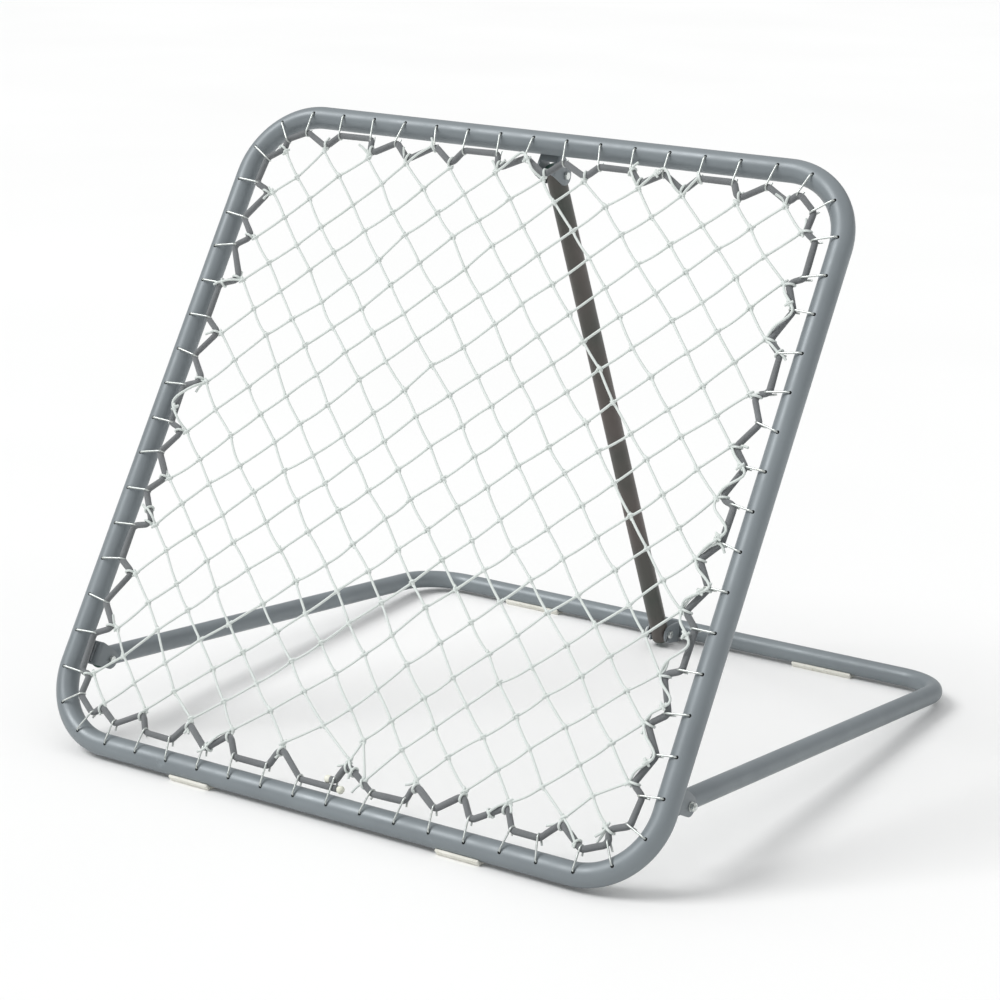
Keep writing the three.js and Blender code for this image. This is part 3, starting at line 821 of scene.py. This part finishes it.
def brackets(look, bead):
    reach = PIVOT_BACK - FRAME_R - GAP
    for side, sign in (("left", -1), ("right", 1)):
        place = FRAME_M @ Matrix.Translation((sign * ARM_X, PIVOT_BACK, PIVOT_UP))
        made = clevis(f"pivot_bracket_{side}_fine", reach, WEB_HALF, WEB_HALF)
        finished(made, look, "frame", [f"pivot_bracket_{side}"], place, 30)
        for way, x in (("in", -sign * 0.0072), ("out", sign * 0.0072)):
            line = [(x, -reach - 0.0012, -WEB_HALF + 0.003), (x, -reach - 0.0012, WEB_HALF - 0.003)]
            weld(f"pivot_weld_{side}_{way}", line, bead, "frame", place, 11 + sign)
    place = FRAME_M @ Matrix.Translation((0, PIVOT_BACK, TOP_PIVOT_Z))
    made = clevis("top_bracket_fine", reach, EAR_R, STRUT_PIVOT_DOWN, web_cut=WEB_SHORT)
    finished(made, look, "frame", ["top_bracket"], place, 30)
    for way, y, z in (("over", -reach + 0.0002, STRUT_PIVOT_DOWN + 0.0012),
                      ("under", -reach - 0.0012, STRUT_PIVOT_DOWN - 0.0072)):
        weld(f"top_weld_{way}", [(-0.012, y, z), (0.012, y, z)], bead, "frame", place, 17)
    reach = REAR_BOLT_REACH - BASE_R - GAP
    place = BASE_M @ Matrix.Translation((0, ARM_LENGTH - REAR_BOLT_REACH, 0))
    place = place @ Matrix.Rotation(math.pi, 4, "Z")
    made = clevis("rear_bracket_fine", reach, EAR_R + GAUGE, EAR_R + GAUGE, slotted=True)
    finished(made, look, "base", ["rear_bracket"], place, 30)
    for way, z in (("over", 0.0066), ("under", -0.0066)):
        line = [(-0.012, -reach - 0.0010, z), (0.012, -reach - 0.0010, z)]
        weld(f"rear_weld_{way}", line, bead, "base", place, 23)


# ---- Bolts, washers and nuts, made along x -------------------
HEX_SIDES = 48
THREAD_SIDES = 32
THREAD_DEPTH = 0.00052
THREADED_FROM = -EAR_OUTER + 0.002  # the shank is plain from there to the head


def hex_rings(low, high, flat_low, inner):
    """Rings over a hexagon from its low face to its high face, the corners taken off by a cone, but
    hardly at a flat low face."""
    angles = turn_of(HEX_SIDES)
    sector = (angles + math.pi / 6) % (math.pi / 3) - math.pi / 6
    flank = HEX_FLATS / 2 / np.cos(sector)
    start = HEX_FLATS / 2 * 0.95
    drop = (flank - start) * math.tan(math.radians(30))
    first, lift = (flank - 0.0001, 0.0001) if flat_low else (start, drop)
    profile = [(inner, low), (first, low), (flank, low + lift),
               (flank, high - drop), (start, high), (inner, high)]
    return [ring_on_x(x, radius, angles) for radius, x in profile]


def bolt_mesh():
    head = EAR_OUTER + GAP
    build = Build().rings(hex_rings(head, head + HEAD_H, True, 0.0016))
    end = -(EAR_OUTER + WASHER_H + NUT_H + 2 * GAP + BOLT_END)
    shank = BOLT_R * 0.98
    build.lathe([(BOLT_R * 0.9, THREADED_FROM), (shank, THREADED_FROM + 0.0004), (shank, head + 0.001)], 32)
    angles = turn_of(THREAD_SIDES)
    rings = []
    for x in np.arange(end, THREADED_FROM + 1e-6, THREAD_PITCH / 8):
        phase = (x / THREAD_PITCH - angles / (2 * math.pi)) % 1
        radius = BOLT_R - THREAD_DEPTH * np.abs(2 * phase - 1)
        lead = min(1.0, (x - end) / 0.0006)
        rings.append(ring_on_x(x, np.minimum(radius, BOLT_R * (0.76 + 0.24 * lead)), angles))
    return build.rings(rings)


def washer_mesh():
    low, high, soft = -EAR_OUTER - GAP - WASHER_H, -EAR_OUTER - GAP, 0.0002
    inner, outer = BOLT_HOLE_R, WASHER_R
    profile = [(inner, low + soft), (inner + soft, low), (outer - soft, low), (outer, low + soft),
               (outer, high - soft), (outer - soft, high), (inner + soft, high), (inner, high - soft)]
    return Build().rings([ring_on_x(x, r, turn_of(48)) for r, x in profile], closed=True)


def nut_mesh():
    high = -EAR_OUTER - WASHER_H - 2 * GAP
    low = high - NUT_H
    rings = hex_rings(low, high, False, BOLT_R * 1.08)
    rings += [ring_on_x(x, BOLT_R * 0.93, turn_of(HEX_SIDES)) for x in (high - 0.0004, low + 0.0004)]
    return Build().rings(rings, closed=True)


def fasteners(look):
    sets = [
        ("pivot_left", "frame", FRAME_M, (-ARM_X, PIVOT_BACK, PIVOT_UP), False),
        ("pivot_right", "frame", FRAME_M, (ARM_X, PIVOT_BACK, PIVOT_UP), True),
        ("strut_top", "frame", FRAME_M, (0, PIVOT_BACK, TOP_PIVOT_Z), False),
        ("strut_bottom", "strut", STRUT_M, (0, 0, -STRUT_LENGTH), False),
    ]
    for number, (name, body, axes, at, turned_round) in enumerate(sets):
        place = axes @ Matrix.Translation(at)
        if turned_round:
            place = place @ Matrix.Rotation(math.pi, 4, "Z")
        for kind, mesh, twist in (("bolt", bolt_mesh, 12), ("washer", washer_mesh, 0), ("nut", nut_mesh, 41)):
            spin = Matrix.Rotation(math.radians(twist + 17 * number), 4, "X")
            made = mesh().object(f"{name}_{kind}_fine")
            finished(made, look, body, [f"{name}_{kind}"], place @ spin, 28)


# ---- Plugs and feet ------------------------------------------
def plugs(look):
    spots = [
        ("arm_plug_left", "base", BASE_M, (-ARM_X, -OVERHANG, 0), math.pi / 2),
        ("arm_plug_right", "base", BASE_M, (ARM_X, -OVERHANG, 0), math.pi / 2),
        ("strut_plug_top", "strut", STRUT_M, (0, 0, OVERHANG), 0),
        ("strut_plug_bottom", "strut", STRUT_M, (0, 0, -STRUT_LENGTH - OVERHANG), math.pi),
    ]
    stem = BASE_R - WALL - GAP
    top = PLUG_HEAD + GAP
    for name, body, axes, at, turn in spots:
        profile = [(0, -PLUG_STEM), (stem - 0.0012, -PLUG_STEM)]
        for k in range(3):  # ribs that grip the bore
            z = -PLUG_STEM + 0.0005 + k * 0.0014
            profile += [(stem - 0.0008, z), (stem, z + 0.0005), (stem - 0.0008, z + 0.0010)]
        profile += [(stem - 0.0008, GAP), (PLUG_R - 0.0003, GAP)]
        profile += [(PLUG_R, GAP + 0.0003), (PLUG_R, top - 0.0012)]
        profile += [(PLUG_R - 0.0009 * (1 - math.cos(a)), top - 0.0012 + 0.0008 * math.sin(a))
                    for a in np.linspace(0.3, math.pi / 2, 5)]
        profile += [(PLUG_R * r, top - 0.0004 * r * r) for r in (0.85, 0.6, 0.35, 0.1, 0)]
        made = Build().lathe(profile, 48, "z").object(f"{name}_fine")
        place = axes @ Matrix.Translation(at) @ Matrix.Rotation(turn, 4, "X")
        finished(made, look, body, [name], place, 40)


def foot(node, body, tube_r, length, place, look):
    low, outer = -math.pi / 2, tube_r + FOOT_H
    ends = low + FOOT_WRAP, low - FOOT_WRAP
    right, left = arc(0, 0, outer, *ends, 2)
    outline = [(-FOOT_FLAT, -outer), (FOOT_FLAT, -outer), right, *arc(0, 0, tube_r + GAP, *ends, 25), left]
    made = Build().prism(outline, -length / 2, length / 2, "x").object(f"{node}_fine")
    finished(bevelled(made, 0.0007, 3), look, body, [node], place, 35)


def feet(look):
    for side, sign in (("left", -1), ("right", 1)):
        x, length = FRONT_FOOT
        place = FRAME_M @ Matrix.Translation((sign * x, 0, 0)) @ Matrix.Rotation(FRAME_LEAN, 4, "X")
        foot(f"front_foot_{side}", "frame", FRAME_R, length, place, look)
        x, length = REAR_FOOT
        place = BASE_M @ Matrix.Translation((sign * x, ARM_LENGTH, 0)) @ Matrix.Rotation(ARM_DROP, 4, "X")
        foot(f"rear_foot_{side}", "base", BASE_R, length, place, look)


# ---- Shock cord and hooks ------------------------------------
CORD_TURN_R = 0.0085
HOOK_BEND_R = 0.0030


def held_points():
    """How far round the frame each outermost knot of the net stands, its side and its place in the net."""
    drop = FRAME_BEND - (RAIL_AT - KNOT_REACH)
    points = []
    for side in range(4):
        for place in range(1 if side % 2 == 0 else 2, NET_STEPS + 1, 2):
            along = place * NET_STEP - KNOT_REACH
            past = max(0.0, abs(along) - STRAIGHT_HALF)
            reach = min(abs(along), STRAIGHT_HALF) + FRAME_BEND * math.atan2(past, drop)
            s = side * QUARTER + math.copysign(reach, along)
            cell = {0: (place, 0), 1: (NET_STEPS, place), 2: (NET_STEPS - place, NET_STEPS),
                    3: (0, NET_STEPS - place)}[side]
            if s < FIRST_HOLE:
                s += FRAME_LENGTH
            if s > hook_at(HOLES - 1):  # over the lap, so drawn on to the first gap after it
                s = hook_at(0) + DIP_CLEAR
            points.append((s, side, cell))
    return sorted(points)


def plan_cord():
    """The cord's turns as (s, inward, y), where each hook holds it, and where each edge knot is."""
    rng = np.random.default_rng(7)
    held = held_points()
    leans = rng.uniform(-0.0075, 0.0075, HOLES)
    leans[[0, HOLES - 1]] = 0.0
    crossings = [(hook_at(0), LAP_INNER)]
    turns = [(hook_at(0) - LAP_TAIL, LAP_INNER, -CORD_FRONT), (hook_at(0), LAP_INNER, -CORD_FRONT)]
    knots = {}
    for hook in range(HOLES - 1):
        start, stop = hook_at(hook), hook_at(hook + 1)
        for s, side, cell in held:
            if start < s <= stop:
                dip = CORNER_DIP if cornered(s) else SIDE_DIPS[side]
                dip += rng.uniform(-0.003, 0.003)
                s = min(max(s + rng.uniform(-0.004, 0.004), start + DIP_CLEAR), stop - DIP_CLEAR)
                y = -CORD_FRONT + rng.uniform(-0.001, 0.001)
                turns.append((s, dip, y))
                knots[cell] = (s, dip, y)
                break
        inward = LAP_OUTER if hook == HOLES - 2 else CORD_AT_HOOK + rng.uniform(-0.001, 0.0015)
        s = stop + leans[hook + 1]
        turns.append((s, inward, -CORD_FRONT))
        crossings.append((s, inward))
    turns.append((hook_at(HOLES) + LAP_TAIL, LAP_OUTER, -CORD_FRONT))
    for s, _, cell in held:
        if cell not in knots:  # a second knot in the first gap rides on the cord's slope there
            dip_s, dip, _ = turns[2]
            slope = (s - dip_s) / (hook_at(1) - dip_s)
            knots[cell] = (s, dip + slope * (CORD_AT_HOOK - dip), -CORD_FRONT)
    return turns, crossings, knots


def shock_cord(turns, look):
    points = [on_frame(s, inward, y)[0] for s, inward, y in turns]
    path = evened(rounded(points, CORD_TURN_R, 0.0016), 0.006)
    rng = np.random.default_rng(13)
    spots = np.linspace(0, 1, 3 * HOLES)
    girth = 1 + np.interp(np.linspace(0, 1, len(path)), spots, rng.uniform(0.02, 0.22, len(spots)))
    made = Build().cord(path, CORD_R * girth, 18).object("shock_cord_braided")
    finished(made, look, "frame", ["shock_cord"], FRAME_M)
    return path


def cord_tips(look):
    """The cut ends: each is dipped in a cream plastic that swells past the sheath."""
    rng = np.random.default_rng(19)
    for name, s, way, inward in (
        ("cord_tip_outer", hook_at(HOLES) + LAP_TAIL, 1, LAP_OUTER),
        ("cord_tip_inner", hook_at(0) - LAP_TAIL, -1, LAP_INNER),
    ):
        at, along, inner = on_frame(s, inward, -CORD_FRONT)
        droop = -inner * rng.uniform(0.0008, 0.0016)
        path, radii = [], []
        for share in (-0.25, -0.1, 0.1, 0.3, 0.5, 0.65, 0.78, 0.88, 0.95, 0.99):
            path.append(at + along * way * TIP_LENGTH * share + droop * max(0.0, share) ** 2)
            swell = CORD_R * (1.04 + 0.34 * math.sin(math.pi * min(0.5, max(0.0, share + 0.1) * 0.75)))
            close = math.sqrt(max(0.0, 1 - (max(0.0, share - 0.55) / 0.45) ** 2))
            radii.append(swell * close * rng.uniform(0.97, 1.03))
        made = Build().cord(path, radii, 24).object(f"{name}_dipped")
        finished(made, look, "frame", [name], FRAME_M, 60)


def hooks(crossings, look):
    """A wire hook from each hole over the cord and round behind it."""
    rng = np.random.default_rng(31)
    clear = CORD_R * 1.08 + WIRE_R
    for hook, (s, inward) in enumerate(crossings):
        hole, _, inner = on_frame(hook_at(hook), 0)
        cord, _, _ = on_frame(s, inward, -CORD_FRONT)
        start = hole + inner * 0.0009
        flat = cord - start
        flat[1] = 0.0
        way = unit(flat)
        proud = FRAME_R + WIRE_R + rng.uniform(0.0006, 0.0014)
        points = [start - Y * 0.009, start - Y * proud, cord - Y * clear - way * 0.001]
        path = rounded([*points, cord - Y * clear + way * 0.001], HOOK_BEND_R, 0.0008)[:-1]
        for a in np.linspace(math.pi / 2, -math.pi / 2, 15):
            path.append(cord + way * clear * math.cos(a) - Y * clear * math.sin(a))
        tail = rng.uniform(0.0050, 0.0085)
        aside = np.cross(way, -Y) * rng.uniform(-0.0015, 0.0015)
        path.append(path[-1] - way * tail * 0.5 + aside * 0.4)
        path.append(path[-2] - way * tail + aside + Y * 0.0004)
        made = Build().cord(evened(path, 0.004), WIRE_R, 14).object(f"hook_{hook + 1:02d}")
        finished(made, look, "frame", matrix=FRAME_M, sharp=50)


# ---- Net -----------------------------------------------------
SLACK_SPAN = 0.085  # a border cord hangs loose between knots nearer than this
NET_SAG = 0.005  # towards the back, in the middle
TWINE_SIDES = 8

# One sheet bend in units of the twine's diameter: (x, z, towards the front).
BIGHT = [(-1.7, 1.7, 0), (-0.95, 1.0, 0.1), (-0.85, -0.2, 0.35), (0, -1.05, 0.45), (0.85, -0.2, 0.35),
         (0.95, 1.0, 0.1), (1.7, 1.7, 0)]
TUCK = [(-1.7, -1.7, 0), (-0.8, -1.0, -0.45), (0.05, -0.35, -0.1), (0.55, 0.45, 0.75), (1.35, 0.75, 0.1),
        (0.5, 0.95, -0.65), (-0.7, 0.7, -0.7), (-1.35, 0.15, 0.0), (-0.5, -0.05, 0.85), (0.45, -0.75, 0.85),
        (1.7, -1.7, 0)]


def place_knots(edge):
    """Net knots in frame axes: the strands of a slack diamond mesh pulled out to its edge knots."""
    rng = np.random.default_rng(43)
    cells = [(i, j) for i in range(NET_STEPS + 1) for j in range(NET_STEPS + 1) if (i + j) % 2]
    index = {cell: k for k, cell in enumerate(cells)}
    at = np.zeros((len(cells), 3))
    fixed = np.zeros(len(cells), bool)
    for cell, (s, dip, y) in edge.items():
        at[index[cell]] = on_frame(s, dip + CORD_R + TWINE_R + 0.0005, y)[0]
        fixed[index[cell]] = True
    stiff = np.zeros((len(cells), len(cells)))
    strands = []
    for (i, j), k in index.items():
        for cell in ((i + 1, j + 1), (i + 1, j - 1)):
            if cell in index:
                m = index[cell]
                pull = math.exp(rng.normal(0, 0.12))
                for a, b in ((k, m), (m, k)):
                    stiff[a, b] -= pull
                    stiff[a, a] += pull
                strands.append((k, m))
    free = ~fixed
    at[free] = np.linalg.solve(stiff[np.ix_(free, free)], -stiff[np.ix_(free, fixed)] @ at[fixed])
    across = (at[:, 0] / KNOT_REACH, (at[:, 2] - RAIL_AT) / KNOT_REACH)
    sag = np.clip(1 - across[0] ** 2, 0, 1) * np.clip(1 - across[1] ** 2, 0, 1)
    at[:, 1] += NET_SAG * sag + np.where(free, rng.normal(0, 0.0007, len(cells)), 0)
    return index, at, strands


def sheet_bend(build, at, rng):
    size = 2 * TWINE_R * rng.uniform(0.68, 0.76)
    turn = rng.normal(0, 0.10)
    mirror, flip = rng.choice([-1, 1]), rng.choice([-1, 1])
    c, s = math.cos(turn), math.sin(turn)
    for route in (BIGHT, TUCK):
        p = np.array(curved(route, 2)) * [mirror, flip, 1]
        p = np.stack([p[:, 0] * c - p[:, 1] * s, -p[:, 2], p[:, 0] * s + p[:, 1] * c], 1)
        build.cord(at + p * size, TWINE_R, 7)


def tail(build, start, way, length, rng):
    """A loose cut end that curls as it goes."""
    way = unit(way)
    side = unit(np.cross(way, Y)) * rng.choice([-1, 1])
    droop = Y * rng.uniform(-0.25, 0.35)
    points = [start + way * length * t + (side * 0.45 + droop) * length * t * t for t in (0, 0.3, 0.65, 1.0)]
    build.cord(curved(points, 4), TWINE_R, TWINE_SIDES)


def ring_about(build, centre, along, inner, lean):
    """The turn of twine that goes round the shock cord."""
    axis = unit(along + inner * lean)
    side = unit(np.cross(axis, Y))
    up = np.cross(side, axis)
    clear = CORD_R * 1.12 + TWINE_R * 0.85
    pitch = axis * 0.0008
    path = [centre + clear * (math.cos(a) * side + math.sin(a) * up) + pitch * math.sin(a)
            for a in turn_of(20)]
    build.cord(path, TWINE_R, TWINE_SIDES, closed=True)


def net(edge, cord_path, look):
    rng = np.random.default_rng(59)
    index, at, strands = place_knots(edge)
    mesh = Build()
    for k, m in strands:
        a, b = at[k], at[m]
        bow = np.array([rng.normal(0, 0.0007), rng.normal(0, 0.0006), rng.normal(-0.0008, 0.0007)])
        path = [a + (b - a) * t + bow * 4 * t * (1 - t) for t in np.linspace(0, 1, 8)]
        mesh.cord(path, TWINE_R * rng.uniform(0.95, 1.05), TWINE_SIDES)
    lumps = Build()
    for place in at:
        sheet_bend(lumps, place, rng)
    ties = Build()
    cord = np.array(cord_path)
    for cell, (s, dip, y) in edge.items():
        on_cord, along, inner = on_frame(s, dip, y)
        near = int(np.argmin(np.linalg.norm(cord - on_cord, axis=1)))
        spot = cord[near]
        knot = at[index[cell]]
        ring_about(ties, spot, along, inner, rng.uniform(-0.35, 0.35))
        for _ in range(rng.choice([0, 1, 1, 2])):
            spray = along * rng.uniform(-1, 1) - inner * rng.uniform(0.4, 1.2)
            spray[1] = rng.uniform(-0.5, 0.1)
            tail(ties, knot - inner * 0.002, spray, rng.uniform(0.009, 0.022), rng)
        if rng.random() < 0.3:  # a loose end of the edge mesh, tied back to the cord beside the knot
            step = int(rng.choice([-1, 1]) * rng.integers(6, 11))
            there = cord[min(max(near + step, 2), len(cord) - 3)]
            ahead = unit(cord[min(max(near + step + 1, 3), len(cord) - 2)] - there)
            front = -Y * (CORD_R + TWINE_R)
            middle = (knot + there) / 2 + front * 1.1 + inner * rng.uniform(-0.001, 0.004)
            ties.cord(curved([knot, middle, there + front], 5), TWINE_R, TWINE_SIDES)
            ring_about(ties, there, ahead, inner, rng.uniform(-0.5, 0.5))
            way = -inner + ahead * rng.uniform(-0.8, 0.8)
            tail(ties, there + front * 0.9, way, rng.uniform(0.006, 0.014), rng)
    around = sorted(edge.items(), key=lambda item: item[1][0])
    over_hooks = -(CORD_FRONT + CORD_R * 1.2 + 2 * WIRE_R + TWINE_R)
    for (cell, (s, _, _)), (next_cell, (next_s, _, _)) in zip(around, around[1:]):
        chance = 0.6 if QUARTER < s + STRAIGHT_HALF < 2 * QUARTER else 0.2  # most on the right side
        if next_s - s < SLACK_SPAN and rng.random() < chance:
            path = [at[index[cell]]]
            for share, past_hook in ((0.2, 0.018), (0.5, -0.003), (0.8, 0.018)):
                inward = CORD_AT_HOOK + past_hook + rng.uniform(-0.003, 0.003)
                y = over_hooks + rng.uniform(-0.001, 0.001)
                path.append(on_frame(s + (next_s - s) * share, inward, y)[0])
            path.append(at[index[next_cell]])
            ties.cord(curved(path, 6), TWINE_R * 1.05, TWINE_SIDES)
            sheet_bend(ties, path[2] + (path[rng.choice((1, 3))] - path[2]) * 0.4, rng)
    for name, build, sharp in (("net_strands", mesh, 0), ("net_knots", lumps, 50), ("net_ties", ties, 50)):
        finished(build.object(name), look, "frame", ["net"], FRAME_M, sharp)


# ---- Scene ---------------------------------------------------
def make_floor():
    mesh = bpy.data.meshes.new("floor")
    made = bmesh.new()
    bmesh.ops.create_grid(made, x_segments=12, y_segments=12, size=60.0)
    made.to_mesh(mesh)
    made.free()
    mesh.materials.append(floor_look())
    placed("floor", mesh)


make_camera()
make_world((0.0, 0.93), (0.07, 0.93), (0.17, 0.30), (0.85, 0.90))  # a dark band above the horizon
make_floor()
soft_sun("key", (0.55, 0.50, -0.85), math.radians(26), 1.75)
bpy.context.scene.view_settings.view_transform = "Standard"

grey = paint("frame_paint", (0.190, 0.215, 0.230), (0.222, 0.252, 0.268), 0.15)
# The brackets get the frame's paint a little darker: painted shade.
bracket_shaded_grey = paint("bracket_paint", (0.185, 0.207, 0.220), (0.215, 0.240, 0.254), 0.15)
# The strut gets the frame's paint darkened and tinted green-brown: painted shade, with a painted reflection
# of grass and earth.
strut_painted_shade = paint("strut_paint", (0.054, 0.062, 0.053), (0.108, 0.087, 0.080), 0.1)
zinc = plated("zinc", (0.66, 0.69, 0.67), (0.84, 0.87, 0.85), 0.30)
wire = plated("hook_wire", (0.46, 0.49, 0.475), (0.66, 0.69, 0.67), 0.36)

frame_tube(grey)
base_tube(grey)
strut_tube(strut_painted_shade)
brackets(bracket_shaded_grey, weld_metal())
fasteners(zinc)
plugs(green_plastic())
feet(cream_rubber())
cord_turns, hook_crossings, edge_knots = plan_cord()
cord_line = shock_cord(cord_turns, braid())
cord_tips(cream_plastic())
hooks(hook_crossings, wire)
net(edge_knots, cord_line, twine())

bpy.context.view_layer.update()
